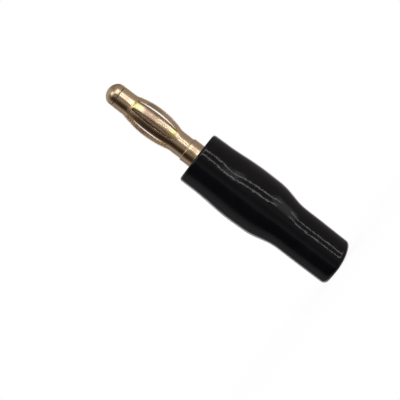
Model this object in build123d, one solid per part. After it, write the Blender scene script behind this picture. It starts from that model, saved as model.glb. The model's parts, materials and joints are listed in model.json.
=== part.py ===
"""Banana plug for 4 mm sockets: turned contact body, lantern spring, clamp screw and soft boot.

Millimetres. The plug stands on the flat rear end of its boot, with the origin at the middle of
that end and the pin pointing up along +Z. The -Y side faces the viewer.
"""
import os
from math import acos, atan2, cos, radians, sin, sqrt, tan

from build123d import *

# Lantern spring, stamped from sheet and rolled round the stem
ring_radius = 1.95           # outside of the two end rings
sheet_thickness = 0.20
spring_length = 14.05
leaf_rise = 0.71             # how far the leaves bow out beyond the rings
bulge_length = 10.10         # stretch that stands proud of the rings
blend_radius = 3.0           # bend between ring and leaf
leaf_count = 8
leaf_width = 1.10
slot_straight = 7.50         # slot between the centres of its round ends
seam_gap = 0.15
seam_angle = 84.3            # degrees about the axis, on the side away from the viewer

# Contact body, turned from brass bar in one piece
head_step = 0.02             # head below the rings, radial
head_side = 0.35             # straight side of the head
dome_core = 0.53             # the dome's corner arc is centred this far from the axis
crown_flatness = 0.157       # the crown's radius beyond that of the head
land_length = 1.30           # turned land under each ring
stem_depth = 0.37            # stem below the lands, radial
stem_taper = 0.40
collar_length = 2.35         # from the clamp body's front face to the spring's seat
collar_step = 0.18           # collar above the rings, radial
collar_fillet = 0.45
collar_chamfer = 0.08
body_radius = 3.45           # clamp body, inside the boot
body_length = 14.5
body_chamfer = 0.30
body_recess = 0.30           # front face below the boot's mouth
wire_bore_radius = 1.30
wire_bore_depth = 9.0
wire_bore_chamfer = 0.30

# Clamp screw, a slotted grub screw M3 in the cross hole
screw_radius = 1.45
screw_length = 2.00
screw_rise = 6.0             # above the clamp body's rear face
screw_recess = 0.10          # below the body's surface
screw_chamfer = 0.20
cross_hole_chamfer = 0.15    # countersink at the hole's mouth
driver_slot_width = 0.50
driver_slot_depth = 0.80

# Boot, a moulded sleeve of soft PVC, whose walls stand on the pocket and on the cable hole
boot_length = 29.3
cable_hole_radius = 2.40
mouth_wall = 1.14
swell_wall = 1.20            # where the barrel starts to swell
belly_wall = 1.66            # where the flanks of the belly would meet
shoulder_wall = 1.46         # behind the belly, where the boot turns in
neck_wall = 1.63             # slim rear part, round the cable
tail_wall = 1.54             # rear end, a little slimmer still
swell_depth = 4.10           # below the mouth
belly_rise = 5.70            # above the pocket's floor
shoulder_rise = 0.50         # above the pocket's floor
neck_drop = 3.60             # below the pocket's floor
swell_blend = 1.30           # how far each bend reaches from its corner
belly_blend = 2.20
shoulder_blend = 1.15
neck_blend = 1.10
mouth_round = 0.45
tail_round = 0.90
pocket_chamfer = 0.20
cable_hole_chamfer = 0.20

# Clearances
pocket_clearance = 0.05      # boot round the clamp body, radial
spring_clearance = 0.03      # rings on the lands, radial
spring_play = 0.10           # spring between head and collar, lengthwise
thread_clearance = 0.05      # screw in the cross hole, radial
cut_margin = 1.0             # cutters beyond the surface that they open

# Limits that keep a rounding inside its flanks
bend_share = 0.45            # most of a flank that one bend takes
step_share = 0.90            # most of the front face that the collar's fillet takes

# Radii and levels that follow
bulge_radius = ring_radius + leaf_rise
head_radius = ring_radius - head_step
crown_radius = head_radius + crown_flatness
dome_length = crown_radius - sqrt((dome_core + crown_flatness)**2 - dome_core**2)
land_radius = ring_radius - sheet_thickness - spring_clearance
stem_radius = land_radius - stem_depth
collar_radius = ring_radius + collar_step
pocket_radius = body_radius + pocket_clearance
face_level = boot_length - body_recess
body_base = face_level - body_length
spring_seat = face_level + collar_length
spring_middle = spring_seat + spring_length / 2
head_shoulder = spring_seat + spring_length + spring_play
dome_level = head_shoulder + head_side
tip_level = dome_level + dome_length
screw_level = body_base + screw_rise


def turned(*edges):
    """A solid of revolution about the plug's axis, from edges given as radius and height."""
    return revolve(Plane.XZ * make_face(Curve() + list(edges)), Axis.Z)


def blended(corners, blends):
    """A line of straight flanks, whose inner corners are rounded off by tangent arcs."""
    flanks = [Vector(*end) - Vector(*start) for start, end in zip(corners, corners[1:])]
    radii = []
    for before, after, blend in zip(flanks, flanks[1:], blends):
        half_turn = radians(before.get_angle(after) / 2)
        reach = min(blend, bend_share * before.length, bend_share * after.length)
        radii.append(reach / tan(half_turn))
    return FilletPolyline(*corners, radius=radii)


def make_boot():
    """Barrel-shaped sleeve: pocket for the clamp body in front, cable hole behind."""
    mouth_radius = pocket_radius + mouth_wall
    tail_radius = cable_hole_radius + tail_wall
    rear_edge = (tail_radius - tail_round, 0)
    rear_side = (tail_radius, tail_round)
    front_side = (mouth_radius, boot_length - mouth_round)
    front_edge = (mouth_radius - mouth_round, boot_length)
    corners = [
        rear_side,
        (cable_hole_radius + neck_wall, body_base - neck_drop),
        (pocket_radius + shoulder_wall, body_base + shoulder_rise),
        (pocket_radius + belly_wall, body_base + belly_rise),
        (pocket_radius + swell_wall, boot_length - swell_depth),
        front_side,
    ]
    grip = blended(corners, [neck_blend, shoulder_blend, belly_blend, swell_blend])
    hollow = Polyline(
        front_edge,
        (pocket_radius + pocket_chamfer, boot_length),
        (pocket_radius, boot_length - pocket_chamfer),
        (pocket_radius, body_base),
        (cable_hole_radius, body_base),
        (cable_hole_radius, cable_hole_chamfer),
        (cable_hole_radius + cable_hole_chamfer, 0),
        rear_edge,
    )
    rear_corner = RadiusArc(rear_edge, rear_side, -tail_round)
    front_corner = RadiusArc(front_side, front_edge, -mouth_round)
    return turned(rear_corner, grip, front_corner, hollow)


def dome_arcs():
    """Two arcs in tangency: the dome's corner, then its flatter crown up to the tip."""
    corner_radius = head_radius - dome_core
    crown_middle = tip_level - crown_radius
    lean = atan2(dome_level - crown_middle, dome_core)
    meeting = (crown_radius * cos(lean), crown_middle + crown_radius * sin(lean))
    return [
        RadiusArc((head_radius, dome_level), meeting, -corner_radius),
        RadiusArc(meeting, (0, tip_level), -crown_radius),
    ]


def make_bar():
    """The turned bar: clamp body, collar, stem between two lands, and rounded head."""
    front_step = body_radius - body_chamfer - collar_radius
    fillet_radius = min(collar_fillet, step_share * front_step)
    collar_foot = (collar_radius + fillet_radius, face_level)
    collar_side = (collar_radius, face_level + fillet_radius)
    lower_land_end = spring_seat + land_length
    upper_land_start = head_shoulder - land_length
    clamp_part = Polyline(
        (0, tip_level),
        (0, body_base),
        (body_radius - body_chamfer, body_base),
        (body_radius, body_base + body_chamfer),
        (body_radius, face_level - body_chamfer),
        (body_radius - body_chamfer, face_level),
        collar_foot,
    )
    pin_part = Polyline(
        collar_side,
        (collar_radius, spring_seat - collar_chamfer),
        (collar_radius - collar_chamfer, spring_seat),
        (land_radius, spring_seat),
        (land_radius, lower_land_end),
        (stem_radius, lower_land_end + stem_taper),
        (stem_radius, upper_land_start - stem_taper),
        (land_radius, upper_land_start),
        (land_radius, head_shoulder),
        (head_radius, head_shoulder),
        (head_radius, dome_level),
    )
    collar_root = RadiusArc(collar_foot, collar_side, fillet_radius)
    return turned(clamp_part, collar_root, pin_part, *dome_arcs())


def make_contact_body():
    """The bar with its wire bore from the rear and its cross hole for the clamp screw."""
    upright = (Align.CENTER, Align.CENTER, Align.MIN)
    wire_bore = Cylinder(wire_bore_radius, wire_bore_depth, align=upright)
    wire_bore += Cone(wire_bore_radius + wire_bore_chamfer, wire_bore_radius, wire_bore_chamfer,
                      align=upright)
    hole_radius = screw_radius + thread_clearance
    mouth_length = cross_hole_chamfer + cut_margin
    cross_hole = Cylinder(hole_radius, body_radius + cut_margin, align=upright)
    cross_hole += Pos(0, 0, body_radius - cross_hole_chamfer) * Cone(
        hole_radius, hole_radius + mouth_length, mouth_length, align=upright)
    body = make_bar() - Pos(0, 0, body_base) * wire_bore
    return body - Pos(0, 0, screw_level) * Rot(90, 0, 0) * cross_hole


def make_sleeve():
    """The rolled sheet before its slots are cut: ring, bend, long bowed arc, bend, ring."""
    half_length = bulge_length / 2
    middle_radius = ring_radius - sheet_thickness / 2
    both_radii = (half_length**2 + leaf_rise**2) / (2 * leaf_rise)
    turn = acos(1 - leaf_rise / both_radii)

    def side(offset, end):
        """Ring end, start of the bend, its middle and its end, at one offset from mid-sheet."""
        bend = blend_radius - offset
        centre = (middle_radius + blend_radius, spring_middle + end * half_length)
        points = [(centre[0] - bend * cos(angle), centre[1] - end * bend * sin(angle))
                  for angle in (0, turn / 2, turn)]
        ring_end = (middle_radius + offset, spring_middle + end * spring_length / 2)
        return [ring_end] + points

    edges = []
    for offset in (sheet_thickness / 2, -sheet_thickness / 2):
        low = side(offset, -1)
        high = side(offset, 1)
        peak = (middle_radius + leaf_rise + offset, spring_middle)
        edges += [
            Line(low[0], low[1]),
            ThreePointArc(low[1], low[2], low[3]),
            ThreePointArc(low[3], peak, high[3]),
            ThreePointArc(high[3], high[2], high[1]),
            Line(high[1], high[0]),
        ]
    for end in (-1, 1):
        level = spring_middle + end * spring_length / 2
        edges.append(Line((ring_radius - sheet_thickness, level), (ring_radius, level)))
    return turned(*edges)


def slot_cutter():
    """Gap between two leaves: a wedge that leaves them evenly wide, with a cone at each end."""
    half_pitch = radians(180 / leaf_count)
    apex = leaf_width / 2 / sin(half_pitch)
    start = max(apex, ring_radius - 2 * sheet_thickness)
    reach = bulge_radius + cut_margin

    def half_gap(radius):
        return (radius - apex) * tan(half_pitch)

    wedge = Polygon((apex, 0), (reach, -half_gap(reach)), (reach, half_gap(reach)), align=None)
    cutter = Pos(0, 0, spring_middle - slot_straight / 2) * extrude(wedge, slot_straight)
    round_end = Cone(half_gap(start), half_gap(reach), reach - start,
                     align=(Align.CENTER, Align.CENTER, Align.MIN))
    for end in (-1, 1):
        cutter += Pos(start, 0, spring_middle + end * slot_straight / 2) * Rot(0, 90, 0) * round_end
    return cutter


def make_lantern_spring():
    """Rolled sleeve with bowed leaves of even width, and a seam through both rings."""
    sleeve = make_sleeve()
    slot = slot_cutter()
    for leaf in range(leaf_count):
        sleeve -= Rot(0, 0, seam_angle + leaf * 360 / leaf_count) * slot
    seam = Pos(0, 0, spring_middle) * Box(
        bulge_radius + cut_margin, seam_gap, spring_length + cut_margin,
        align=(Align.MIN, Align.CENTER, Align.CENTER))
    return sleeve - Rot(0, 0, seam_angle) * seam


def make_clamp_screw():
    """Grub screw with a driver slot, flat-ended, lying along -Y."""
    screw = Cylinder(screw_radius, screw_length, align=(Align.CENTER, Align.CENTER, Align.MAX))
    screw = chamfer(screw.edges().filter_by(GeomType.CIRCLE), screw_chamfer)
    screw -= Box(3 * screw_radius, driver_slot_width, 2 * driver_slot_depth)
    outer_end = body_radius - screw_recess
    return Pos(0, -outer_end, screw_level) * Rot(90, 0, 0) * screw


nodes = {
    "boot": make_boot(),
    "contact_body": make_contact_body(),
    "lantern_spring": make_lantern_spring(),
    "clamp_screw": make_clamp_screw(),
}

os.makedirs("parts", exist_ok=True)
for name, solid in nodes.items():
    export_step(solid, f"parts/{name}.step")
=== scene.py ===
"""Looks of a banana plug: turned contact body, lantern spring, clamp screw and soft boot.

Metres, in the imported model's frame. The plug stands on its boot's rear end at the origin, its pin
points up along +Z, and the viewer of the photograph is on the -Y side.
"""
import json
from math import atan2, cos, exp, pi, radians, sin, sqrt

import bmesh
import bpy
from bpy.props import FloatProperty, FloatVectorProperty, IntProperty, PointerProperty
from mathutils import Matrix, Quaternion, Vector, noise


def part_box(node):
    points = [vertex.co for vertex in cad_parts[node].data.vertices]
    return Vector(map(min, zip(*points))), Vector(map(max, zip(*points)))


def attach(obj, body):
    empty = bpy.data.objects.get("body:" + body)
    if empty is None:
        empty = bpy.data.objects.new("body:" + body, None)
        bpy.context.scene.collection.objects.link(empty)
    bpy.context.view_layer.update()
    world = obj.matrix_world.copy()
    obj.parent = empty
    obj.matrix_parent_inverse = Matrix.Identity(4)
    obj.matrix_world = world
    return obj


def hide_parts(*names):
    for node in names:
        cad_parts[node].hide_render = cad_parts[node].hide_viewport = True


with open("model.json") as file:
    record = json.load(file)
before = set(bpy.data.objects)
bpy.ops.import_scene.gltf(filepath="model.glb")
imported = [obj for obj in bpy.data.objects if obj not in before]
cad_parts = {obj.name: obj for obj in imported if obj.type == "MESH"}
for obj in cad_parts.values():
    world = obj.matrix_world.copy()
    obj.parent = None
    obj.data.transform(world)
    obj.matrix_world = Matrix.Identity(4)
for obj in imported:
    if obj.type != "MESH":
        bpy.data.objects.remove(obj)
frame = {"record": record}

bl_info = {
    "name": "Banana Plug",
    "version": (1, 0, 0),
    "blender": (4, 5, 0),
    "location": "3D View > Sidebar > Banana Plug",
    "description": "Builds the pieces, finishes and studio of a 4 mm banana plug",
    "category": "Object",
}

MM = 0.001

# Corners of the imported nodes, and the mounts' sizes
BOOT_LOW, BOOT_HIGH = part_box("boot")
BODY_LOW, BODY_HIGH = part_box("contact_body")
SPRING_LOW, SPRING_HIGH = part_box("lantern_spring")
SCREW_LOW, SCREW_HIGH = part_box("clamp_screw")
MOUNTS = {mount["name"]: mount["dims"] for mount in frame["record"]["mounts"]}
RING_RADIUS = MOUNTS["nose_ring"]["r_mm"] * MM
WIRE_BORE_RADIUS = MOUNTS["wire_bore"]["r_mm"] * MM
CABLE_HOLE_RADIUS = MOUNTS["cable_entry"]["r_mm"] * MM


# Settings

def length(name, description, millimetres):
    """A size that a user may change, written in millimetres."""
    return FloatProperty(name=name, description=description, default=millimetres * MM,
                         min=0, precision=5, subtype="DISTANCE", unit="LENGTH")


def share(name, description, default):
    """A number from 0 to 1 that a user may change."""
    return FloatProperty(name=name, description=description, default=default,
                         min=0, max=1, subtype="FACTOR")


def colour(name, description, default):
    """A linear colour that a user may change."""
    return FloatVectorProperty(name=name, description=description, default=default,
                               size=3, min=0, max=1, subtype="COLOR")


def in_radians(*degrees):
    """Angles in radians, from angles in degrees."""
    return [radians(angle) for angle in degrees]


def rotation(name, description, degrees):
    """An angle that a user may change, written in degrees."""
    return FloatProperty(name=name, description=description, default=radians(degrees),
                         subtype="ANGLE", unit="ROTATION")


def brightness(name, description, default):
    """A light's strength that a user may change, where 1 is plain white."""
    return FloatProperty(name=name, description=description, default=default, min=0)


class BootSettings(bpy.types.PropertyGroup):
    """Sizes and finish of the moulded boot."""

    pocket_clearance: length("Pocket clearance", "Gap round the clamp body, radial", 0.05)
    mouth_wall: length("Mouth wall", "Wall at the open front end", 1.14)
    swell_wall: length("Swell wall", "Wall where the barrel starts to swell", 1.20)
    belly_wall: length("Belly wall", "Wall where the flanks of the belly would meet", 1.585)
    shoulder_wall: length("Shoulder wall", "Wall where the boot turns in to its neck", 1.46)
    neck_wall: length("Neck wall", "Wall round the cable hole", 1.63)
    tail_wall: length("Tail wall", "Wall at the rear end", 1.54)
    swell_depth: length("Swell depth", "Start of the swell below the mouth", 4.10)
    belly_rise: length("Belly rise", "Belly above the pocket's floor", 5.70)
    shoulder_rise: length("Shoulder rise", "Shoulder above the pocket's floor", 0.30)
    neck_drop: length("Neck drop", "Start of the neck below the pocket's floor", 3.60)
    mouth_round: length("Mouth round", "Rounding of the mouth's outer edge", 0.45)
    tail_round: length("Tail round", "Rounding of the rear end's edge", 0.90)
    neck_bend: length("Neck bend", "Reach of the bend at the neck's start", 1.10)
    shoulder_bend: length("Shoulder bend", "Reach of the shoulder's bend", 1.15)
    belly_bend: length("Belly bend", "Reach of the belly's bend", 2.20)
    swell_bend: length("Swell bend", "Reach of the bend where the swell starts", 1.30)
    inner_round: length("Inner round", "Rounding of the pocket's corners and the hole's end", 0.15)
    step_round: length("Step round", "Rounding where the pocket meets the cable hole", 0.20)
    tail_slump: length("Tail slump", "How far the rear end rises towards the +X side", 0.90)
    slump_reach: length("Slump reach", "Height up to which the rear end is pushed up", 7.0)
    lean: length("Lean", "How far the rear half sits towards +X", 0.09)
    swell_lumps: length("Swell lumps", "Height of the broad unevenness of the skin", 0.045)
    ripple: length("Ripple", "Height of the small ripples of the skin", 0.008)
    dent_depth: length("Dent depth", "Depth of the dent beside the mouth", 0.12)
    dent_reach: length("Dent reach", "Size of the dent beside the mouth", 1.3)
    dent_level: length("Dent level", "Dent above the floor", 23.2)
    dent_angle: rotation("Dent angle", "Dent from -Y towards +X", 36)
    skin_bump: length("Skin bump", "Height of the skin's finest ripples", 0.030)
    roughness: share("Roughness", "Roughness of the PVC where it has no bloom", 0.05)
    specular: share("Specular", "Strength of the PVC's gloss", 0.28)
    pvc: colour("PVC", "Colour of the soft PVC", (0.0020, 0.0019, 0.0028))


class BodySettings(bpy.types.PropertyGroup):
    """Sizes and finish of the turned contact body."""

    body_chamfer: length("Body chamfer", "Chamfer of the clamp body's edges", 0.30)
    body_recess: length("Body recess", "Front face below the boot's mouth", 0.30)
    collar_step: length("Collar step", "Collar above the rings, radial", 0.18)
    collar_fillet: length("Collar fillet", "Fillet at the collar's foot", 0.45)
    land_clearance: length("Land clearance", "Gap between ring and land, radial", 0.03)
    land_length: length("Land length", "Turned land under each ring", 1.30)
    stem_depth: length("Stem depth", "Stem below the lands, radial", 0.37)
    stem_taper: length("Stem taper", "Length of the taper between land and stem", 0.40)
    head_step: length("Head step", "Head below the rings, radial", 0.02)
    head_side: length("Head side", "Straight side of the head", 0.35)
    dome_core: length("Dome core", "Distance of the corner arc's centre from the axis", 0.53)
    crown_flatness: length("Crown flatness", "Crown radius beyond that of the head", 0.157)
    wire_bore_depth: length("Wire bore depth", "Depth of the wire bore", 9.0)
    wire_bore_chamfer: length("Wire bore chamfer", "Chamfer at the wire bore's mouth", 0.30)
    collar_round: length("Collar round", "Rounding of the collar's front edge", 0.16)
    seat_round: length("Seat round", "Rounding in the corners at the rings' ends", 0.02)
    land_round: length("Land round", "Rounding of the lands' inner edges", 0.10)
    stem_round: length("Stem round", "Rounding where the tapers meet the stem", 0.15)
    edge_round: length("Edge round", "Rounding of the turned edges", 0.05)
    marks: length("Marks", "Height of the turning marks", 0.0009)
    roughness: share("Roughness", "Roughness of the plating", 0.27)
    plating: colour("Plating", "Colour of the gold plating", (0.85, 0.66, 0.45))
    # Painted shade: the stem under the leaves and the seams beside the rings are painted darker
    dull: colour("Shaded plating", "Colour of the stem under the leaves", (0.72, 0.57, 0.43))
    grime: colour("Shade", "Colour of the seams beside the rings", (0.06, 0.045, 0.03))


class SpringSettings(bpy.types.PropertyGroup):
    """Sizes and finish of the rolled lantern spring."""

    leaves: IntProperty(name="Leaves", description="Number of leaves", default=8, min=3, max=24)
    leaf_width: length("Leaf width", "Width of each leaf", 1.10)
    leaf_rise: length("Leaf rise", "How far the leaves bow out beyond the rings", 0.71)
    bulge_length: length("Bulge length", "Stretch that stands proud of the rings", 10.10)
    bend_radius: length("Bend radius", "Bend between ring and leaf", 3.0)
    slot_straight: length("Slot straight", "Slot between its round ends' centres", 7.50)
    sheet: length("Sheet", "Thickness of the sheet", 0.20)
    seam_gap: length("Seam gap", "Gap of the lengthwise seam", 0.15)
    seam_angle: rotation("Seam angle", "Where the seam lies about the axis", 84.3)
    edge_round: length("Edge round", "Rounding of the stamped edges in the shading", 0.045)
    marks: length("Marks", "Height of the rolling marks", 0.0009)
    roughness: share("Roughness", "Roughness of the plating", 0.25)
    unevenness: share("Unevenness", "How much more the leaves bow out on the +X side", 0.07)
    plating: colour("Plating", "Colour of the spring's gold plating", (0.88, 0.69, 0.475))
    # Painted reflection: the bends on one side are painted yellow
    bend_plating: colour("Bend plating", "Colour of the bends between rings and leaves",
                         (0.92, 0.79, 0.38))
    yellow_angle: rotation("Yellow angle", "Side with the yellow bends, from -Y towards +X", 17)
    # Brown of real wear where sockets rub, made stronger on the yellow side by painted reflection
    worn: colour("Worn plating", "Colour where sockets have rubbed the leaves", (0.43, 0.295, 0.215))
    worn_shift: length("Worn shift", "Worn stretch from the leaves' middle, towards the tip", 1.05)
    worn_reach: length("Worn reach", "Half the length of the worn stretch", 2.00)


class ScrewSettings(bpy.types.PropertyGroup):
    """Sizes and finish of the clamp screw and of its tapped hole."""

    pitch: length("Pitch", "Pitch of the thread", 0.50)
    thread_depth: length("Thread depth", "Depth of the screw's thread", 0.20)
    tap_depth: length("Tap depth", "Depth of the thread that shows in the hole", 0.08)
    tap_clearance: length("Tap clearance", "Gap between the two threads, radial", 0.01)
    chamfer: length("Chamfer", "Chamfer of the screw's ends", 0.20)
    slot_width: length("Slot width", "Width of the driver slot", 0.50)
    slot_depth: length("Slot depth", "Depth of the driver slot", 0.80)
    marks: length("Marks", "Height of the cutting marks", 0.003)
    roughness: share("Roughness", "Roughness of the plated steel", 0.27)
    steel: colour("Steel", "Colour of the plated steel", (0.56, 0.55, 0.52))
    # Painted shade, down in the slot and the thread
    grime: colour("Shade", "Colour down in the slot and the thread", (0.05, 0.045, 0.04))


class StageSettings(bpy.types.PropertyGroup):
    """Camera, lights, floor and the tent round the plug."""

    view_width: length("View width", "Width of the picture at the plug's axis", 65.25)
    view_side: length("View side", "Middle of the picture from the axis, towards -X", 5.30)
    view_height: length("View height", "Middle of the picture above the floor", 24.59)
    camera_distance: length("Camera distance", "Camera from the plug's axis", 400.0)
    camera_roll: rotation("Camera roll", "Turn of the plug in the picture", 52.46)
    tent_radius: length("Tent radius", "Radius of the round tent that the gloss reflects", 450.0)
    tent_glow: brightness("Tent glow", "Brightness of a plain white cloth", 1.25)
    strip_length: length("Strip length", "Length of the strip lights", 400.0)
    strip_width: length("Strip width", "Width of the strip lights", 24.0)
    strip_distance: length("Strip distance", "Strip lights from the plug's axis", 400.0)
    strip_outer: rotation("Outer strip", "Outer strip light, from -Y towards +X", 46.5)
    strip_inner: rotation("Inner strip", "Inner strip light, from -Y towards +X", 24.5)
    strip_lean: rotation("Strip lean", "Lean of the strip lights", 30)
    strip_glow: brightness("Strip glow", "Brightness of the strip lights", 4.5)
    strip_tint: colour("Strip tint", "Colour of the strip lights", (0.95, 0.97, 1.0))
    world_light: brightness("World light", "Light of the room all round", 1.0)
    shadow: share("Shadow", "How much of the floor near the plug is paper in real light", 0.08)
    shadow_reach: length("Shadow reach", "Where the floor has turned plain white", 60.0)


# Fixed values

PLUG_MIDDLE = (BOOT_LOW.z + BODY_HIGH.z) / 2
SPRING_MIDDLE = (SPRING_LOW.z + SPRING_HIGH.z) / 2
SCREW_AXIS = (SCREW_LOW.z + SCREW_HIGH.z) / 2

# Fineness of the meshes: faces round the axis, steps in an arc, and the longest straight step
BOOT_SEGMENTS, BOOT_ARC_STEPS, BOOT_STEP = 176, 8, 0.24 * MM
BODY_SEGMENTS, BODY_ARC_STEPS, BODY_STEP = 144, 5, 0.50 * MM
DOME_CORNER_STEPS, DOME_CROWN_STEPS = 12, 8
TENT_SEGMENTS, TENT_STEPS = 64, 32
SPRING_GRID = {"Columns per Leaf": 15, "Straight Rows": 22, "Round Rows": 8, "Ring Rows": 14}
SCREW_GRID = {"Columns": 72, "Rows per Pitch": 12}
TAP_GRID = {"Columns": 60, "Rows per Pitch": 10}

# Points nearer to each other than this become one
SAME_PLACE = 0.002 * MM

# Points nearer to the axis than this lie on it
ON_AXIS = 0.001 * MM

# Edges sharper than these stay crisp in the shading
SOFT_EDGE, TURNED_EDGE = radians(50), radians(35)

# Over a pitch the thread's ridge rises to a peak and falls, cut off flat at the crest and the root
RIDGE_PEAK, RIDGE_FALL = 1.15, 1.3

# The driver slot's cutter is this many times as wide as the screw's radius
CUTTER_REACH = 3

# The boot's outer skin starts this far outside the clamp body, and outside the cable hole
SKIN_ON_POCKET, SKIN_ON_HOLE = 0.2 * MM, 0.5 * MM

# The pocket counts as ended this far below its floor
POCKET_END = 0.1 * MM

# The skin's lumps and ripples: cells a millimetre, and how much they stretch along the axis
LUMP_CELLS, LUMP_STRETCH = 0.16, 0.8
RIPPLE_CELLS, RIPPLE_STRETCH = 0.55, 0.7

# Both fade out over these distances from the rear end and from the mouth
TAIL_FADE, MOUTH_FADE = 1.0 * MM, 0.6 * MM

# A place in the noise, which sets where the boot's broad lumps lie
LUMP_SEED = Vector((7, 3, 1))

# The rear end's slump has this strength at the axis, and grows to 1 towards the +X side
SLUMP_AT_AXIS = 0.2

# The boot leans fully up to a level, less and less over a distance, and back by a share at its mouth
LEAN_LEVEL, LEAN_FADE, LEAN_BACK = 13 * MM, 11 * MM, 0.4

# Noises of the finishes: stretch along the axes, cells a millimetre, and detail
MOTTLE = (1, 1, 0.6), 0.9, 2.0
TURNING_MARKS = (0.1, 0.1, 5), 1.0, 1.0
ROLLING_MARKS = (3, 3, 0.3), 1.0, 1.0
CUTTING_MARKS = (4, 0.3, 4), 1.0, 1.0
PVC_RIPPLE = (1, 1, 0.8), 1.1, 2.0
PVC_GRAIN = (1, 1, 1), 2.4, 1.0
PVC_BLOOM = (1, 1, 1), 0.35, 3.0

# A blend by a noise runs over this part of the noise's range
NOISE_SPAN = 0.3, 0.7

# What marks, mottle and wear add to a metal's roughness, its limits, and the parts of its bump
MARKS_GLOSS, MOTTLE_GLOSS, WEAR_GLOSS = 0.05, 0.10, 0.08
GLOSS_RANGE = 0.05, 0.6
MARKS_BUMP, MOTTLE_BUMP = 0.3, 0.7

# What the bloom adds to the PVC's roughness, how much paler it is, and the parts of the PVC's bump
BLOOM_GLOSS, BLOOM_PALENESS = 0.06, 1.4
RIPPLE_BUMP, GRAIN_BUMP = 0.65, 0.35

# The darker patches of the plating and of the steel, as shares of the colour
PLATING_SHADE, STEEL_SHADE = 0.93, 0.75

# The body's painted shade under the spring, on the stem and on the lands where the rings sit: borders
# along the axis, from the spring's two ends, and borders outwards, from the rings' radius
SEAT_SPAN, HEAD_SPAN = (-0.02 * MM, 0.02 * MM), (0.2 * MM, 0.1 * MM)
INSIDE_SPAN, LAND_SPAN = (-0.06 * MM, -0.12 * MM), (-0.50 * MM, -0.40 * MM)

# The spring's bends with their painted yellow reflection, and its rubbed stretch, as shares of the
# leaves' rise
BEND_SPAN = 0.02, 0.20, 0.50, 0.75
RUBBED_SPAN = 0.60, 0.80

# Cosines between which a leaf comes to face the yellow side of the painted reflection
FACING_SPAN = 0.90, 0.96

# The brown stretch fades between these shares of its reach. Its strength is the sum of three parts:
# wear everywhere, wear by mottle, and painted reflection on the yellow side.
WORN_FADE = 1.0, 0.35
WORN_BASE, WORN_MOTTLE, REFLECTION_SIDE = 0.40, 0.20, 0.40

# The screw's painted shade deepens between these depths, up to this strength
SCREW_SHADE_SPAN, SCREW_SHADE_STRENGTH = (0.1 * MM, 0.6 * MM), 0.8

# How much the body's painted shade under the spring and the steel's patches count in their roughness
UNDER_SPRING_WEAR, STEEL_WEAR = 2.0, 0.3

# The floor lies a little below the boot's flat end, so that the two don't share a plane
FLOOR_DROP = 0.03 * MM

# The shadow on the floor is whole up to this share of its reach
SHADOW_CORE = 0.25

# Metres: half the floor's side, and how near and how far the camera sees
FLOOR_HALF, CLIP_NEAR, CLIP_FAR = 0.6, 0.01, 10

PAPER = (0.9, 0.9, 0.9, 1)
WHITE = (1, 1, 1, 1)

# The tent's cloths, and where they hang: degrees from -Y towards -X
LIT_CLOTH = (1.15, 1.15, 1.15)
WHITE_CLOTH = (0.96, 0.96, 0.96)
GREY_CLOTH = (0.265, 0.252, 0.255)
DIM_CLOTH = (0.150, 0.150, 0.155)
TAN_CLOTH = (0.243, 0.216, 0.200)
BROWN_CLOTH = (0.050, 0.038, 0.026)
DARK_CLOTH = (0.018, 0.012, 0.006)
SHADE_CLOTH = (0.130, 0.120, 0.110)
DULL_CLOTH = (0.155, 0.139, 0.128)
PALE_CLOTH = (0.358, 0.330, 0.312)
UMBER_CLOTH = (0.135, 0.105, 0.070)
CLOTHS = (
    (-180, TAN_CLOTH), (-170, WHITE_CLOTH), (-156, WHITE_CLOTH), (-142, TAN_CLOTH),
    (-14, TAN_CLOTH), (-4, SHADE_CLOTH), (6, SHADE_CLOTH), (16, TAN_CLOTH),
    (20, TAN_CLOTH), (30, BROWN_CLOTH), (44, DARK_CLOTH), (67, DARK_CLOTH), (77, BROWN_CLOTH),
    (91, GREY_CLOTH), (110, GREY_CLOTH), (124, DIM_CLOTH), (142, DIM_CLOTH),
    (150, WHITE_CLOTH), (158, WHITE_CLOTH),
    (166, BROWN_CLOTH), (176, BROWN_CLOTH),
)


# Where else a cloth hangs, by turn from -Y towards -X and by lift above the plug's middle. Two
# angles are the start and the end of a soft step, and four fade a cloth in and out.
BEHIND_TURN, BEHIND_LIFT = in_radians(105, 135), in_radians(8, 24)
GAP_TURN, GAP_LIFT = in_radians(20, 34, 66, 86), in_radians(22, 32, 42, 50)
UMBER_TURN = in_radians(36, 56)
CAP_LIFT = in_radians(58, 68)
KEY_TURN, KEY_LIFT = in_radians(-66, -52, -20, -8), in_radians(4, 12, 66, 76)

# The key is the brightest cloth. It leans over towards -X by this turn, between these two lifts.
KEY_SWAY, SWAY_LIFT = radians(60), in_radians(28, 46)

# The lit patch is an ellipse: its middle, half its width and height, its fade, and its strength
PATCH_TURN, PATCH_LIFT = radians(-53), radians(-23)
PATCH_WIDTH, PATCH_HEIGHT = radians(27), radians(18)
PATCH_FADE, PATCH_STRENGTH = (1.0, 0.2), 0.72

# The top's cloth turns from DULL_CLOTH to PALE_CLOTH between these shares of the tent's radius
# towards +X
TOP_SPAN = 0.35, -0.10


# Node maths

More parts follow.
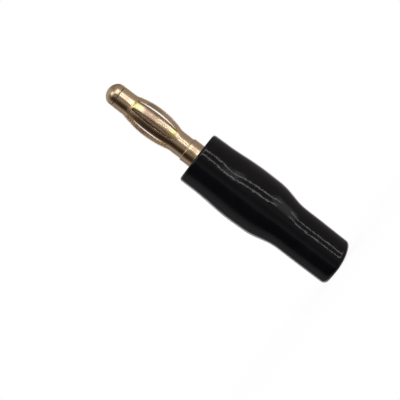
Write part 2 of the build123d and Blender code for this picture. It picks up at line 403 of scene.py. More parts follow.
class Wire:
    """An output of a node tree. Arithmetic on wires adds Math nodes to the same tree."""

    def __init__(self, tree, socket=None):
        self.tree = tree
        self.socket = socket

    def add(self, kind, inputs=(), output=0, stops=None, **settings):
        """Adds a node of any kind: its settings, its ramp stops, its inputs, and one output."""
        node = self.tree.nodes.new(kind)
        for name, value in settings.items():
            setattr(node, name, value)
        if stops:
            ramp = node.color_ramp
            while len(ramp.elements) < len(stops):
                ramp.elements.new(1)
            for element, (place, value) in zip(ramp.elements, stops):
                element.position = place
                element.color = (*value, 1) if hasattr(value, "__len__") else (value,) * 3 + (1,)
        for name, value in dict(inputs).items():
            if isinstance(value, Wire):
                self.tree.links.new(value.socket, node.inputs[name])
            elif value is not None:
                node.inputs[name].default_value = value
        return Wire(self.tree, node.outputs[output] if len(node.outputs) else None)

    def math(self, operation, *values):
        """A Math node on this wire and more values."""
        return self.add("ShaderNodeMath", enumerate([self, *values]), operation=operation)

    def __add__(self, other):
        return self.math("ADD", other)

    __radd__ = __add__

    def __sub__(self, other):
        return self.math("SUBTRACT", other)

    def __rsub__(self, other):
        return self.add("ShaderNodeMath", {0: other, 1: self}, operation="SUBTRACT")

    def __mul__(self, other):
        return self.math("MULTIPLY", other)

    __rmul__ = __mul__

    def __truediv__(self, other):
        return self.math("DIVIDE", other)

    def __rtruediv__(self, other):
        return self.add("ShaderNodeMath", {0: other, 1: self}, operation="DIVIDE")

    def __pow__(self, other):
        return self.math("POWER", other)

    def __mod__(self, other):
        return self.math("FLOORED_MODULO", other)

    def __gt__(self, other):
        return self.math("GREATER_THAN", other)

    def __lt__(self, other):
        return self.math("LESS_THAN", other)

    def clamped(self, low, high):
        """This wire, kept between two values."""
        return self.math("MAXIMUM", low).math("MINIMUM", high)

    def part(self, axis):
        """One of the three parts of a vector."""
        return self.add("ShaderNodeSeparateXYZ", {0: self}, output=axis)

    def smooth(self, start, end):
        """A soft step, 0 where this wire is at its start and 1 where it is at its end."""
        return self.add("ShaderNodeMapRange", {"Value": self, "From Min": start, "From Max": end},
                        interpolation_type="SMOOTHSTEP")

    def within(self, start, full, last, end):
        """1 from full to last, and softly down to 0 at start and at end."""
        return self.smooth(start, full) * self.smooth(end, last)

    def blend(self, first, second):
        """A colour between two colours, by this wire."""
        ends = {name: value if isinstance(value, Wire) else (*value, 1)
                for name, value in (("A", first), ("B", second))}
        return self.add("ShaderNodeMix", {0: self, **ends}, output=2, data_type="RGBA")


# Geometry Nodes trees

def geometry_tree(name, inputs):
    """A new tree with one named input for each size, and a wire for each of them."""
    tree = bpy.data.node_groups.new(name, "GeometryNodeTree")
    for title, kind in inputs.items():
        tree.interface.new_socket(title, in_out="INPUT", socket_type=f"NodeSocket{kind}")
    tree.interface.new_socket("Geometry", in_out="OUTPUT", socket_type="NodeSocketGeometry")
    entry = tree.nodes.new("NodeGroupInput")
    return tree, {title: Wire(tree, entry.outputs[title]) for title in inputs}


def close_tree(geometry, material):
    """Ends a tree with real geometry that carries its material."""
    real = geometry.add("GeometryNodeRealizeInstances", {0: geometry})
    finished = real.add("GeometryNodeSetMaterial", {"Geometry": real, "Material": material})
    finished.add("NodeGroupOutput", {0: finished})


def sheet_grid(wire, columns, rows):
    """A flat grid whose vertices lie at whole numbers, and its column and its row from the middle."""
    grid = wire.add("GeometryNodeMeshGrid", {"Size X": columns - 1, "Size Y": rows - 1,
                                             "Vertices X": columns, "Vertices Y": rows})
    place = wire.add("GeometryNodeInputPosition")
    column = (place.part(0) + (columns - 1) / 2).math("ROUND")
    return grid, column, place.part(1)


def column_of_face(wire, columns):
    """The column of a face's middle, which is a half between two whole numbers."""
    return wire.add("GeometryNodeInputPosition").part(0) + (columns - 1) / 2


def placed(wire, geometry, x, y, z):
    """The geometry with its vertices put at x, y and z, and those that then meet joined."""
    spot = wire.add("ShaderNodeCombineXYZ", {0: x, 1: y, 2: z})
    moved = wire.add("GeometryNodeSetPosition", {"Geometry": geometry, "Position": spot})
    return wire.add("GeometryNodeMergeByDistance", {"Geometry": moved, "Distance": SAME_PLACE})


def spring_tree():
    """The lantern spring's middle surface: one sheet, slotted between its leaves and rolled up."""
    tree, size = geometry_tree("Lantern Spring", {
        "Leaves": "Int", "Leaf Width": "Float", "Leaf Rise": "Float", "Ring Radius": "Float",
        "Bulge Length": "Float", "Bend Radius": "Float", "Spring Length": "Float",
        "Slot Straight": "Float", "Seam Gap": "Float", "Seam Angle": "Float",
        "Middle Level": "Float", "Unevenness": "Float", "Columns per Leaf": "Int",
        "Straight Rows": "Int", "Round Rows": "Int", "Ring Rows": "Int", "Material": "Material",
    })
    wire = size["Leaves"]
    per_leaf = size["Columns per Leaf"]
    columns = wire * per_leaf
    rows_each_way = size["Straight Rows"] + size["Round Rows"] + size["Ring Rows"]
    grid, column, row = sheet_grid(wire, columns, rows_each_way * 2 + 1)
    between = (column_of_face(wire, columns) % per_leaf) > (per_leaf - 1)
    slotted = wire.add("GeometryNodeDeleteGeometry", {"Geometry": grid, "Selection": between},
                       domain="FACE")

    # Where a vertex lies in its leaf, from -1 to 1 across
    leaf = (column / per_leaf).math("FLOOR")
    across = (column - leaf * per_leaf) / (per_leaf - 1) * 2 - 1
    pitch = 2 * pi / wire
    leaf_angle = size["Seam Angle"] + (leaf + 0.5) * pitch
    half_pitch = pitch / 2

    # The leaves' outline along the spring
    half_bulge = size["Bulge Length"] / 2
    both_radii = (half_bulge ** 2 + size["Leaf Rise"] ** 2) / (size["Leaf Rise"] * 2)
    long_radius = both_radii - size["Bend Radius"]
    turn = (1 - size["Leaf Rise"] / both_radii).math("ARCCOSINE")
    bend_start = half_bulge - size["Bend Radius"] * turn.math("SINE")

    def rise_at(level):
        """How far the leaf stands out beyond the rings at one level from the middle."""
        bow = (long_radius ** 2 - level.math("MINIMUM", bend_start) ** 2).math("SQRT")
        bow_end = (long_radius ** 2 - bend_start ** 2).math("SQRT")
        left = half_bulge - level.clamped(bend_start, half_bulge)
        bend = size["Bend Radius"] - (size["Bend Radius"] ** 2 - left ** 2).math("SQRT")
        return bow - bow_end + bend

    # Rows: straight flank of the slot, its round end, and the ring
    apex = size["Leaf Width"] / 2 / half_pitch.math("SINE")
    half_slot = size["Slot Straight"] / 2
    end_radius = size["Ring Radius"] + rise_at(half_slot)
    end_gap = (end_radius - apex) * half_pitch.math("TANGENT")
    step = row.math("ABSOLUTE")
    straight = step.math("MINIMUM", size["Straight Rows"]) / size["Straight Rows"]
    rounding = (step - size["Straight Rows"]).clamped(0, size["Round Rows"])
    turned = rounding / size["Round Rows"] * (pi / 2)
    beyond = (step - size["Straight Rows"] - size["Round Rows"]).math("MAXIMUM", 0)
    ring = (beyond / size["Ring Rows"] * (pi / 2)).math("SINE")
    slot_tip = half_slot + end_gap
    level = (half_slot * straight + end_gap * turned.math("SINE")
             + (size["Spring Length"] / 2 - slot_tip) * ring)

    # Across a leaf: the sheet keeps the curve that it has at the slot's tip
    uneven_bow = 1 + size["Unevenness"] * leaf_angle.math("COSINE") * turned.math("COSINE")
    radius = size["Ring Radius"] + rise_at(level) * uneven_bow
    curve = radius.math("MINIMUM", size["Ring Radius"] + rise_at(slot_tip))
    at_seam = (column < 0.5) + (column > (columns - 1.5))
    gap = ((radius - apex) * half_pitch.math("TANGENT") * turned.math("COSINE")).math(
        "MAXIMUM", at_seam * size["Seam Gap"] / 2)
    half_width = radius * half_pitch.math("SINE") - gap * half_pitch.math("COSINE")
    swing = (half_width / curve).math("ARCSINE") * across
    out = radius - curve + curve * swing.math("COSINE")
    side = curve * swing.math("SINE")
    x = out * leaf_angle.math("COSINE") - side * leaf_angle.math("SINE")
    y = out * leaf_angle.math("SINE") + side * leaf_angle.math("COSINE")
    z = size["Middle Level"] + level * row.math("SIGN")
    close_tree(placed(wire, slotted, x, y, z), size["Material"])
    return tree


def thread_tree():
    """A threaded rod that ends in chamfers, with a driver slot if one has a depth."""
    tree, size = geometry_tree("Threaded Rod", {
        "Length": "Float", "Crest Radius": "Float", "Root Radius": "Float", "Pitch": "Float",
        "Chamfer": "Float", "Slot Width": "Float", "Slot Depth": "Float", "Top": "Vector",
        "Columns": "Int", "Rows per Pitch": "Int", "Material": "Material",
    })
    wire = size["Length"]
    rows = (size["Length"] / size["Pitch"] * size["Rows per Pitch"]).math("ROUND")
    grid, column, row = sheet_grid(wire, size["Columns"] + 1, rows + 3)
    angle = column / size["Columns"] * (2 * pi)
    share_along = (row / rows).clamped(-0.5, 0.5)
    along = share_along * size["Length"]
    phase = (along / size["Pitch"] - column / size["Columns"]) % 1
    ridge = (RIDGE_PEAK - (phase * 2 - 1).math("ABSOLUTE") * RIDGE_FALL).clamped(0, 1)
    thread = size["Root Radius"] + (size["Crest Radius"] - size["Root Radius"]) * ridge
    from_end = size["Length"] * (0.5 - share_along.math("ABSOLUTE"))
    chamfered = thread.math("MINIMUM", size["Crest Radius"] - size["Chamfer"] + from_end)
    on_skin = row.math("ABSOLUTE") < (rows / 2 + 0.5)
    radius = chamfered * on_skin
    rod = placed(wire, grid, radius * angle.math("COSINE"), radius * angle.math("SINE"),
                 along - size["Length"] / 2)
    reach = size["Crest Radius"] * CUTTER_REACH
    box = wire.add("ShaderNodeCombineXYZ", {0: reach, 1: size["Slot Width"],
                                            2: size["Slot Depth"] * 2})
    bar = wire.add("GeometryNodeMeshCube", {"Size": box})
    slotted = wire.add("GeometryNodeMeshBoolean", {0: rod, 1: bar}, operation="DIFFERENCE",
                       solver="EXACT")
    chosen = wire.add("GeometryNodeSwitch", {"Switch": size["Slot Depth"] > 0, "False": rod,
                                             "True": slotted}, input_type="GEOMETRY")
    laid = wire.add("GeometryNodeTransform", {"Geometry": chosen, "Translation": size["Top"],
                                              "Rotation": (pi / 2, 0, 0)})
    close_tree(laid, size["Material"])
    return tree


# Making meshes

def new_object(name, mesh):
    """An object for a mesh, linked to the scene at the origin."""
    piece = bpy.data.objects.new(name, mesh)
    bpy.context.scene.collection.objects.link(piece)
    return piece


def hardened(piece):
    """Turns a piece's modifiers into its plain mesh."""
    depsgraph = bpy.context.evaluated_depsgraph_get()
    mesh = bpy.data.meshes.new_from_object(piece.evaluated_get(depsgraph), depsgraph=depsgraph)
    piece.modifiers.clear()
    piece.data = mesh
    return piece


def grown(name, tree, values, sheet=0.0):
    """A piece from a Geometry Nodes tree as a plain mesh, given its thickness if it is a sheet."""
    piece = new_object(name, bpy.data.meshes.new(name))
    modifier = piece.modifiers.new("Shape", "NODES")
    modifier.node_group = tree
    sockets = {item.name: item.identifier for item in tree.interface.items_tree
               if item.in_out == "INPUT"}
    for title, value in values.items():
        modifier[sockets[title]] = value
    if sheet:
        wall = piece.modifiers.new("Sheet", "SOLIDIFY")
        wall.thickness = sheet
        wall.offset = 0
    return hardened(piece)


def smoothed(piece, sharp_angle):
    """Shades a piece smooth, with edges sharper than an angle kept crisp."""
    piece.data.shade_smooth()
    piece.data.set_sharp_from_angle(angle=sharp_angle)
    return piece


def rounded(corners, steps):
    """Points of an outline, each of whose corners (radius, height, reach) becomes an arc."""
    points = []
    for place, (radius, height, reach) in enumerate(corners):
        corner = Vector((radius, height))
        if not reach:
            points.append(corner)
            continue
        before = (Vector(corners[place - 1][:2]) - corner).normalized()
        after = (Vector(corners[(place + 1) % len(corners)][:2]) - corner).normalized()
        half_angle = before.angle(after) / 2
        centre = corner + (before + after).normalized() * reach / cos(half_angle)
        first = corner + before * reach - centre
        last = corner + after * reach - centre
        turn = first.angle(last)
        for step in range(steps + 1):
            part = step / steps
            blend = first * sin((1 - part) * turn) + last * sin(part * turn)
            points.append(centre + blend / sin(turn))
    return points


def refined(points, longest, closed=False):
    """The same outline with its long straight runs divided."""
    ends = points[1:] + points[:1] if closed else points[1:]
    fine = []
    for start, end in zip(points, ends):
        count = max(1, round((end - start).length / longest))
        fine += [start.lerp(end, step / count) for step in range(count)]
    return fine if closed else fine + [points[-1]]


def turned_mesh(name, outline, segments):
    """A mesh turned about the plug's axis. An outline that doesn't start on the axis is closed."""
    shape = bmesh.new()
    rings = []
    for radius, height in outline:
        angles = [2 * pi * i / segments for i in range(segments)] if radius > ON_AXIS else [0]
        rings.append([shape.verts.new((radius * cos(a), radius * sin(a), height)) for a in angles])
    closed = len(rings[0]) > 1
    for ring, following in zip(rings, rings[1:] + rings[:1] if closed else rings[1:]):
        for i in range(segments):
            pair = [ring[i % len(ring)], ring[(i + 1) % segments % len(ring)]]
            pair += [following[(i + 1) % segments % len(following)], following[i % len(following)]]
            face = list(dict.fromkeys(pair))
            if len(face) > 2:
                shape.faces.new(face)
    bmesh.ops.recalc_face_normals(shape, faces=shape.faces)
    mesh = bpy.data.meshes.new(name)
    shape.to_mesh(mesh)
    shape.free()
    return mesh


def finished(piece, body, node, slot, material=None):
    """Gives a piece its material and its body, and hides the node that it stands for. Its slot is not
    used.
    """
    if material:
        piece.data.materials.clear()
        piece.data.materials.append(material)
    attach(piece, body)
    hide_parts(node)


# Finishes

def new_material(name):
    """An empty node material, and a wire to add its nodes by."""
    material = bpy.data.materials.new(name)
    material.use_nodes = True
    material.node_tree.nodes.clear()
    return material, Wire(material.node_tree)


def surface(wire, shader, output="ShaderNodeOutputMaterial"):
    """Links a shader to its material's or its world's output."""
    wire.add(output, {"Surface": shader})


def noise_on(wire, spot, look):
    """Noise from 0 to 1. Its look is its stretch along the axes, its cells and its detail."""
    stretch, cells, detail = look
    stretched = wire.add("ShaderNodeMapping", {"Vector": spot, "Scale": stretch})
    return wire.add("ShaderNodeTexNoise", {"Vector": stretched, "Scale": cells / MM,
                                           "Detail": detail})


def distance_from_axis(spot):
    """How far a point lies from the plug's axis."""
    x, y = spot.part(0), spot.part(1)
    return (x * x + y * y) ** 0.5


def scaled(tint, factor):
    """A colour made paler or darker by a factor."""
    return tuple(part * factor for part in tint)


def metal(name, paint, settings, marks_look, edge_round=0.0):
    """Plated metal: its painted colour, its uneven gloss, the marks of its making, and soft edges."""
    material, wire = new_material(name)
    spot = wire.add("ShaderNodeTexCoord", output="Object")
    mottle = noise_on(wire, spot, MOTTLE)
    marks = noise_on(wire, spot, marks_look)
    shade, wear = paint(spot, mottle.smooth(*NOISE_SPAN))
    gloss = (settings.roughness + (marks - 0.5) * MARKS_GLOSS + (mottle - 0.5) * MOTTLE_GLOSS
             + wear * WEAR_GLOSS)
    edges = wire.add("ShaderNodeBevel", {"Radius": edge_round}) if edge_round else None
    bump = wire.add("ShaderNodeBump", {"Strength": 1.0, "Distance": settings.marks,
                                       "Height": marks * MARKS_BUMP + mottle * MOTTLE_BUMP,
                                       "Normal": edges})
    shader = wire.add("ShaderNodeBsdfPrincipled", {
        "Base Color": shade, "Metallic": 1.0, "Roughness": gloss.clamped(*GLOSS_RANGE),
        "Normal": bump})
    surface(wire, shader)
    return material


def soft_pvc(boot):
    """Glossy black soft PVC with a faintly rippled skin."""
    material, wire = new_material("soft_pvc")
    spot = wire.add("ShaderNodeTexCoord", output="Object")
    ripple = noise_on(wire, spot, PVC_RIPPLE)
    grain = noise_on(wire, spot, PVC_GRAIN)
    bloom = noise_on(wire, spot, PVC_BLOOM)
    bump = wire.add("ShaderNodeBump", {"Strength": 1.0, "Distance": boot.skin_bump,
                                       "Height": ripple * RIPPLE_BUMP + grain * GRAIN_BUMP})
    shader = wire.add("ShaderNodeBsdfPrincipled", {
        "Base Color": bloom.smooth(*NOISE_SPAN).blend(boot.pvc, scaled(boot.pvc, BLOOM_PALENESS)),
        "Roughness": boot.roughness + bloom * BLOOM_GLOSS,
        "Specular IOR Level": boot.specular, "Normal": bump})
    surface(wire, shader)
    return material


# Pieces

class PLUG_OT_boot(bpy.types.Operator):
    """Mould the boot: a barrel-shaped sleeve of soft PVC with an uneven skin"""

    bl_idname = "plug.boot"
    bl_label = "Make Boot"

    def execute(self, context):
        boot = context.scene.plug_boot
        pocket = BODY_HIGH.x + boot.pocket_clearance
        mouth, floor = BOOT_HIGH.z, BODY_LOW.z
        hole = CABLE_HOLE_RADIUS
        corners = [
            (hole + boot.tail_wall, 0, boot.tail_round),
            (hole + boot.neck_wall, floor - boot.neck_drop, boot.neck_bend),
            (pocket + boot.shoulder_wall, floor + boot.shoulder_rise, boot.shoulder_bend),
            (pocket + boot.belly_wall, floor + boot.belly_rise, boot.belly_bend),
            (pocket + boot.swell_wall, mouth - boot.swell_depth, boot.swell_bend),
            (pocket + boot.mouth_wall, mouth, boot.mouth_round),
            (pocket, mouth, boot.inner_round),
            (pocket, floor, boot.inner_round),
            (hole, floor, boot.step_round),
            (hole, 0, boot.inner_round),
        ]
        outline = refined(rounded(corners, BOOT_ARC_STEPS), BOOT_STEP, closed=True)
        mesh = turned_mesh("soft_boot", outline, BOOT_SEGMENTS)
        self.age(mesh, boot, hole)
        piece = smoothed(new_object("soft_boot", mesh), SOFT_EDGE)
        finished(piece, "boot", "boot", "soft_pvc", soft_pvc(boot))
        return {"FINISHED"}

    def age(self, mesh, boot, hole):
        """Gives the outer skin its unevenness, then slumps the rear end and leans the boot."""
        pocket_end = BODY_LOW.z - POCKET_END
        normals = [vertex.normal.copy() for vertex in mesh.vertices]
        for vertex, normal in zip(mesh.vertices, normals):
            spot, level = vertex.co, vertex.co.z
            inner = BODY_HIGH.x + SKIN_ON_POCKET if level > pocket_end else hole + SKIN_ON_HOLE
            if spot.xy.length > inner:
                spot += normal * self.unevenness(spot, boot)
            side = max(0, SLUMP_AT_AXIS + (1 - SLUMP_AT_AXIS) * spot.x / (hole + boot.tail_wall))
            low = max(0, 1 - spot.z / boot.slump_reach)
            spot.z += boot.tail_slump * side ** 2 * low ** 2
            if spot.xy.length > inner or spot.z < pocket_end:
                spot.x += boot.lean * min(1, max(-LEAN_BACK, 1 - (level - LEAN_LEVEL) / LEAN_FADE))

    def unevenness(self, spot, boot):
        """How far the skin stands out at a spot: its lumps and ripples, less the dent."""
        x, y, z = spot / MM
        lump = noise.noise(Vector((x, y, z * LUMP_STRETCH)) * LUMP_CELLS + LUMP_SEED)
        ripple = noise.noise(Vector((x, y, z * RIPPLE_STRETCH)) * RIPPLE_CELLS)
        fade = max(0, min(1, spot.z / TAIL_FADE, (BOOT_HIGH.z - spot.z) / MOUTH_FADE))
        dent_middle = Vector((BOOT_HIGH.x * sin(boot.dent_angle),
                              -BOOT_HIGH.x * cos(boot.dent_angle), boot.dent_level))
        away = (spot - dent_middle).length / boot.dent_reach
        return ((lump * boot.swell_lumps + ripple * boot.ripple) * fade
                - boot.dent_depth * exp(-away ** 2))


class PLUG_OT_contact_body(bpy.types.Operator):
    """Turn the contact body, with its wire bore and the tapped cross hole"""

    bl_idname = "plug.contact_body"
    bl_label = "Make Contact Body"

    def execute(self, context):
        body, spring = context.scene.plug_body, context.scene.plug_spring
        mesh = turned_mesh("turned_body", self.outline(body, spring), BODY_SEGMENTS)
        piece = new_object("turned_body", mesh)
        tap = self.tap(context.scene.plug_screw)
        cut = piece.modifiers.new("Cross hole", "BOOLEAN")
        cut.object = tap
        cut.solver = "EXACT"
        hardened(piece)
        bpy.data.objects.remove(tap)
        plating = metal("gold_plating", self.paint(body), body, TURNING_MARKS)
        finished(smoothed(piece, TURNED_EDGE), "contact", "contact_body", "gold_plating", plating)
        return {"FINISHED"}

    def paint(self, body):
        """Gold plating, with painted shade on the stem under the leaves, darker where the rings sit.
        """
        def coloured(spot, mottle):
            radius, height = distance_from_axis(spot), spot.part(2)
            above = (height - SPRING_LOW.z).smooth(*SEAT_SPAN)
            below = (height - SPRING_HIGH.z).smooth(*HEAD_SPAN)
            under = (radius - RING_RADIUS).smooth(*INSIDE_SPAN) * above * below
            # Painted shade under the spring: the stem painted darker, the lands where the rings sit
            # darker still
            under_shade = (radius - RING_RADIUS).smooth(*LAND_SPAN).blend(body.dull, body.grime)
            unshaded = mottle.blend(scaled(body.plating, PLATING_SHADE), body.plating)
            return under.blend(unshaded, under_shade), under * UNDER_SPRING_WEAR
        return coloured

    def outline(self, body, spring):
        """Radius and height along the bar, from the wire bore's end round to the tip."""
        edge = body.edge_round
        base, tip = BODY_LOW.z, BODY_HIGH.z
        face = BOOT_HIGH.z - body.body_recess
        seat = SPRING_LOW.z
        outer = BODY_HIGH.x
        collar = RING_RADIUS + body.collar_step
        land = RING_RADIUS - spring.sheet - body.land_clearance
        stem = land - body.stem_depth
        head = RING_RADIUS - body.head_step
        crown = head + body.crown_flatness
        dome_length = crown - self.corner_level(body)
        shoulder = tip - dome_length - body.head_side
        bore_end = base + body.wire_bore_depth
        corners = [
            (0, bore_end, 0),
            (WIRE_BORE_RADIUS, bore_end, edge),
            (WIRE_BORE_RADIUS, base + body.wire_bore_chamfer, edge),
            (WIRE_BORE_RADIUS + body.wire_bore_chamfer, base, edge),
            (outer - body.body_chamfer, base, edge),
            (outer, base + body.body_chamfer, edge),
            (outer, face - body.body_chamfer, edge),
            (outer - body.body_chamfer, face, edge),
            (collar, face, body.collar_fillet),
            (collar, seat, body.collar_round),
            (land, seat, body.seat_round),
            (land, seat + body.land_length, body.land_round),
            (stem, seat + body.land_length + body.stem_taper, body.stem_round),
            (stem, shoulder - body.land_length - body.stem_taper, body.stem_round),
            (land, shoulder - body.land_length, body.land_round),
            (land, shoulder, body.seat_round),
            (head, shoulder, edge),
            (head, tip - dome_length, 0),
        ]
        bar = refined(rounded(corners, BODY_ARC_STEPS), BODY_STEP)
        return bar + self.dome(body, head, crown, tip)

    def corner_level(self, body):
        """Level of the corner arc's centre above the crown arc's centre."""
        return sqrt((body.dome_core + body.crown_flatness) ** 2 - body.dome_core ** 2)

    def dome(self, body, head, crown, tip):
        """The head's two arcs: its corner, then the flatter crown."""
        middle = tip - crown
        corner = head - body.dome_core
        level = middle + self.corner_level(body)
        meeting = atan2(level - middle, body.dome_core)
        points = []
        for step in range(1, DOME_CORNER_STEPS + 1):
            angle = meeting * step / DOME_CORNER_STEPS
            points.append(Vector((body.dome_core + corner * cos(angle),
                                  level + corner * sin(angle))))
        for step in range(1, DOME_CROWN_STEPS):
            angle = meeting + (pi / 2 - meeting) * step / DOME_CROWN_STEPS
            points.append(Vector((crown * cos(angle), middle + crown * sin(angle))))
        return points + [Vector((0, tip))]

    def tap(self, screw):
        """The threaded cutter for the cross hole, which ends inside the wire bore."""
        inner = SCREW_HIGH.x + screw.tap_clearance
        reach = BODY_HIGH.x + screw.pitch
        return grown("tap", thread_tree(), {
            "Length": reach, "Crest Radius": inner + screw.tap_depth, "Root Radius": inner,
            "Pitch": screw.pitch, "Chamfer": 0.0, "Slot Width": 0.0, "Slot Depth": 0.0,
            "Top": (0, -reach, SCREW_AXIS), **TAP_GRID})


class PLUG_OT_lantern_spring(bpy.types.Operator):
    """Stamp, roll and bow the lantern spring"""

    bl_idname = "plug.lantern_spring"
    bl_label = "Make Lantern Spring"

    def execute(self, context):
        spring = context.scene.plug_spring
        plating = metal("spring_gold", self.paint(spring), spring, ROLLING_MARKS,
                        spring.edge_round)
        piece = grown("rolled_spring", spring_tree(), {
            "Leaves": spring.leaves, "Leaf Width": spring.leaf_width,
            "Leaf Rise": spring.leaf_rise, "Ring Radius": RING_RADIUS - spring.sheet / 2,
            "Bulge Length": spring.bulge_length, "Bend Radius": spring.bend_radius,
            "Spring Length": SPRING_HIGH.z - SPRING_LOW.z,
            "Slot Straight": spring.slot_straight, "Seam Gap": spring.seam_gap,
            "Seam Angle": spring.seam_angle, "Middle Level": SPRING_MIDDLE,
            "Unevenness": spring.unevenness, "Material": plating, **SPRING_GRID},
            sheet=spring.sheet)
        finished(smoothed(piece, SOFT_EDGE), "spring", "lantern_spring", "spring_gold")
        return {"FINISHED"}

    def paint(self, spring):
        """Gold plating, with yellow bends on one side as painted reflection, and brown where leaves
        rub a socket.
        """
        worn_level = SPRING_MIDDLE + spring.worn_shift

        def coloured(spot, mottle):
            radius = distance_from_axis(spot)
            beyond = (radius - RING_RADIUS) / spring.leaf_rise
            # Painted reflection: leaves facing one side get yellow bends and a stronger brown
            facing = (spot.part(0) * sin(spring.yellow_angle)
                      - spot.part(1) * cos(spring.yellow_angle)) / radius
            side = facing.smooth(*FACING_SPAN)
            bend = beyond.within(*BEND_SPAN) * side
            off = (spot.part(2) - worn_level).math("ABSOLUTE") / spring.worn_reach
            strength = WORN_BASE + mottle * WORN_MOTTLE + side * REFLECTION_SIDE
            rubbed = off.smooth(*WORN_FADE) * beyond.smooth(*RUBBED_SPAN) * strength
            unshaded = bend.blend(spring.plating, spring.bend_plating)
            return rubbed.blend(unshaded, spring.worn), rubbed
        return coloured


class PLUG_OT_clamp_screw(bpy.types.Operator):
    """Cut the clamp screw, with its thread and its driver slot"""

    bl_idname = "plug.clamp_screw"
    bl_label = "Make Clamp Screw"

    def execute(self, context):
        screw = context.scene.plug_screw
        steel = metal("screw_steel", self.paint(screw), screw, CUTTING_MARKS)
        piece = grown("threaded_screw", thread_tree(), {
            "Length": SCREW_HIGH.y - SCREW_LOW.y, "Crest Radius": SCREW_HIGH.x,
            "Root Radius": SCREW_HIGH.x - screw.thread_depth, "Pitch": screw.pitch,
            "Chamfer": screw.chamfer, "Slot Width": screw.slot_width,
            "Slot Depth": screw.slot_depth, "Top": (0, SCREW_LOW.y, SCREW_AXIS),
            "Material": steel, **SCREW_GRID})
        finished(smoothed(piece, TURNED_EDGE), "screw", "clamp_screw", "screw_steel")
        return {"FINISHED"}

    def paint(self, screw):
        """Plated steel with darker patches, and painted shade down in the slot and the thread."""
        def coloured(spot, mottle):
            # Painted shade: darker with depth from the slotted end
            deep = (spot.part(1) - SCREW_LOW.y).smooth(*SCREW_SHADE_SPAN)
            unshaded = mottle.blend(scaled(screw.steel, STEEL_SHADE), screw.steel)
            return (deep * SCREW_SHADE_STRENGTH).blend(unshaded, screw.grime), mottle * STEEL_WEAR
        return coloured


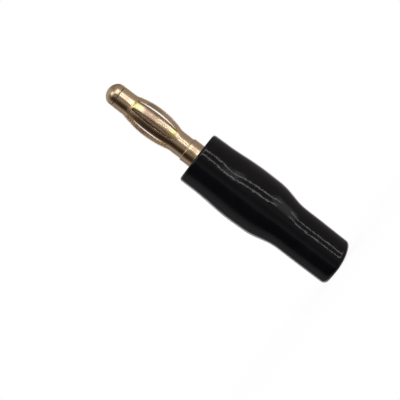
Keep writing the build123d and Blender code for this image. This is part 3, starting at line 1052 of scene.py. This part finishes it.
class PLUG_OT_studio(bpy.types.Operator):
    """Set up the floor, the tent, the lights, the world and the camera"""

    bl_idname = "plug.studio"
    bl_label = "Make Studio"

    def execute(self, context):
        stage = context.scene.plug_stage
        context.scene.view_settings.view_transform = "Standard"
        self.floor(stage)
        self.tent(stage)
        self.world(context, stage)
        self.strip(context, stage, "strip_outer", stage.strip_outer)
        self.strip(context, stage, "strip_inner", stage.strip_inner)
        self.camera(context, stage)
        return {"FINISHED"}

    def seen_by(self, wire):
        """1 for rays that show the background: from the camera, off gloss or through clear pieces."""
        seen = wire.add("ShaderNodeLightPath", output="Is Camera Ray")
        for kind in ("Is Glossy Ray", "Is Transmission Ray"):
            seen = seen.math("MAXIMUM", wire.add("ShaderNodeLightPath", output=kind))
        return seen

    def floor(self, stage):
        """White paper with a shadow near the plug, plain white further off, clear from below."""
        material, wire = new_material("floor_paper")
        away = distance_from_axis(wire.add("ShaderNodeTexCoord", output="Object"))
        lit = away.smooth(stage.shadow_reach, stage.shadow_reach * SHADOW_CORE) * stage.shadow
        paper = wire.add("ShaderNodeBsdfDiffuse", {"Color": PAPER})
        white = wire.add("ShaderNodeEmission", {"Color": WHITE, "Strength": 1.0})
        share_white = self.seen_by(wire) * (1 - lit)
        above = wire.add("ShaderNodeMixShader", {0: share_white, 1: paper, 2: white})
        from_below = wire.add("ShaderNodeNewGeometry", output="Backfacing")
        clear = wire.add("ShaderNodeBsdfTransparent")
        surface(wire, wire.add("ShaderNodeMixShader", {0: from_below, 1: above, 2: clear}))
        sides = ((-1, -1), (1, -1), (1, 1), (-1, 1))
        mesh = bpy.data.meshes.new("floor")
        mesh.from_pydata([(x * FLOOR_HALF, y * FLOOR_HALF, 0) for x, y in sides], [],
                         [(0, 1, 2, 3)])
        mesh.materials.append(material)
        floor = new_object("floor", mesh)
        floor.location.z = -FLOOR_DROP
        floor.visible_glossy = False

    def tent(self, stage):
        """A round tent of white, tan and dark cloths, which only the gloss shows."""
        material, wire = new_material("tent_cloth")
        spot = wire.add("ShaderNodeTexCoord", output="Object")
        turn = (spot.part(0) * -1).math("ARCTAN2", spot.part(1) * -1)
        lift = (spot.part(2) / stage.tent_radius).math("ARCSINE")
        sides = wire.add("ShaderNodeValToRGB", {0: turn / (2 * pi) + 0.5},
                         stops=[((place + 180) / 360, cloth) for place, cloth in CLOTHS])
        sideways = spot.part(0) / stage.tent_radius
        top = sideways.smooth(*TOP_SPAN).blend(DULL_CLOTH, PALE_CLOTH)
        behind = turn.math("ABSOLUTE").smooth(*BEHIND_TURN) * lift.smooth(*BEHIND_LIFT)
        gap = turn.within(*GAP_TURN) * lift.within(*GAP_LIFT)
        gap_cloth = turn.smooth(*UMBER_TURN).blend(TAN_CLOTH, UMBER_CLOTH)
        swayed = turn - lift.smooth(*SWAY_LIFT) * KEY_SWAY
        key = swayed.within(*KEY_TURN) * lift.within(*KEY_LIFT)
        off_patch = (((turn - PATCH_TURN) / PATCH_WIDTH) ** 2
                     + ((lift - PATCH_LIFT) / PATCH_HEIGHT) ** 2)
        patch = off_patch.smooth(*PATCH_FADE) * PATCH_STRENGTH
        cloth = gap.blend(behind.blend(sides, top), gap_cloth)
        cloth = lift.smooth(*CAP_LIFT).blend(cloth, top)
        cloth = key.math("MAXIMUM", patch).blend(cloth, LIT_CLOTH)
        surface(wire, wire.add("ShaderNodeEmission", {"Color": cloth,
                                                      "Strength": stage.tent_glow}))
        angles = [pi * step / TENT_STEPS for step in range(TENT_STEPS + 1)]
        half_round = [Vector((sin(angle), cos(angle))) * stage.tent_radius for angle in angles]
        mesh = turned_mesh("tent", half_round, TENT_SEGMENTS)
        mesh.materials.append(material)
        tent = new_object("tent", mesh)
        tent.location.z = PLUG_MIDDLE
        tent.visible_camera = False
        tent.visible_diffuse = False
        tent.visible_shadow = False
        tent.visible_transmission = False

    def world(self, context, stage):
        """White where it is seen, and even light from all round."""
        world = bpy.data.worlds.new("studio")
        world.use_nodes = True
        world.node_tree.nodes.clear()
        wire = Wire(world.node_tree)
        seen = self.seen_by(wire)
        strength = seen + (1 - seen) * stage.world_light
        glow = wire.add("ShaderNodeBackground", {"Color": WHITE, "Strength": strength})
        surface(wire, glow, "ShaderNodeOutputWorld")
        context.scene.world = world

    def strip(self, context, stage, name, side):
        """A leaning strip light that faces the plug's middle, from an angle towards +X."""
        lamp = bpy.data.lights.new(name, "AREA")
        lamp.shape = "RECTANGLE"
        lamp.size = stage.strip_width
        lamp.size_y = stage.strip_length
        lamp.color = stage.strip_tint
        # A light's power is its brightness times pi and its area
        lamp.energy = stage.strip_glow * pi * stage.strip_width * stage.strip_length
        away = Vector((sin(side), -cos(side), 0))
        place = Vector((0, 0, PLUG_MIDDLE)) + away * stage.strip_distance
        facing = away.to_track_quat("Z", "Y") @ Quaternion((0, 0, 1), stage.strip_lean)
        light = bpy.data.objects.new(name, lamp)
        light.matrix_world = Matrix.LocRotScale(place, facing, None)
        light.visible_camera = False
        context.scene.collection.objects.link(light)

    def camera(self, context, stage):
        """The photograph's view: square to the plug's axis, turned about the line of sight."""
        lens = bpy.data.cameras.new("view")
        lens.lens = lens.sensor_width * stage.camera_distance / stage.view_width
        lens.clip_start = CLIP_NEAR
        lens.clip_end = CLIP_FAR
        roll = stage.camera_roll
        right = Vector((cos(roll), 0, -sin(roll)))
        up = Vector((sin(roll), 0, cos(roll)))
        back = Vector((0, -1, 0))
        place = Vector((-stage.view_side, -stage.camera_distance, stage.view_height))
        facing = Matrix((right, up, back)).transposed().to_quaternion()
        camera = bpy.data.objects.new("view", lens)
        camera.matrix_world = Matrix.LocRotScale(place, facing, None)
        context.scene.collection.objects.link(camera)
        context.scene.camera = camera


# Panel and registration

class PLUG_PT_panel(bpy.types.Panel):
    """The plug's operators and settings"""

    bl_label = "Banana Plug"
    bl_idname = "PLUG_PT_panel"
    bl_space_type = "VIEW_3D"
    bl_region_type = "UI"
    bl_category = "Banana Plug"

    def draw(self, context):
        for label, operator, group in STEPS:
            box = self.layout.box()
            box.operator(operator, text=label)
            settings = getattr(context.scene, group)
            for name in settings.bl_rna.properties.keys():
                if name not in ("rna_type", "name"):
                    box.prop(settings, name)


STEPS = (
    ("Studio", "plug.studio", "plug_stage"),
    ("Boot", "plug.boot", "plug_boot"),
    ("Contact Body", "plug.contact_body", "plug_body"),
    ("Lantern Spring", "plug.lantern_spring", "plug_spring"),
    ("Clamp Screw", "plug.clamp_screw", "plug_screw"),
)
GROUPS = {
    "plug_boot": BootSettings, "plug_body": BodySettings, "plug_spring": SpringSettings,
    "plug_screw": ScrewSettings, "plug_stage": StageSettings,
}
CLASSES = (*GROUPS.values(), PLUG_OT_studio, PLUG_OT_boot, PLUG_OT_contact_body,
           PLUG_OT_lantern_spring, PLUG_OT_clamp_screw, PLUG_PT_panel)


def register():
    """Adds the classes and the scene's settings."""
    for kind in CLASSES:
        bpy.utils.register_class(kind)
    for name, group in GROUPS.items():
        setattr(bpy.types.Scene, name, PointerProperty(type=group))


def unregister():
    """Takes away what register added."""
    for name in GROUPS:
        delattr(bpy.types.Scene, name)
    for kind in reversed(CLASSES):
        bpy.utils.unregister_class(kind)


def main():
    """Makes the plug and its studio."""
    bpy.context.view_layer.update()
    register()
    for _, operator, _ in STEPS:
        package, name = operator.split(".")
        getattr(getattr(bpy.ops, package), name)()


if __name__ == "__main__":
    main()
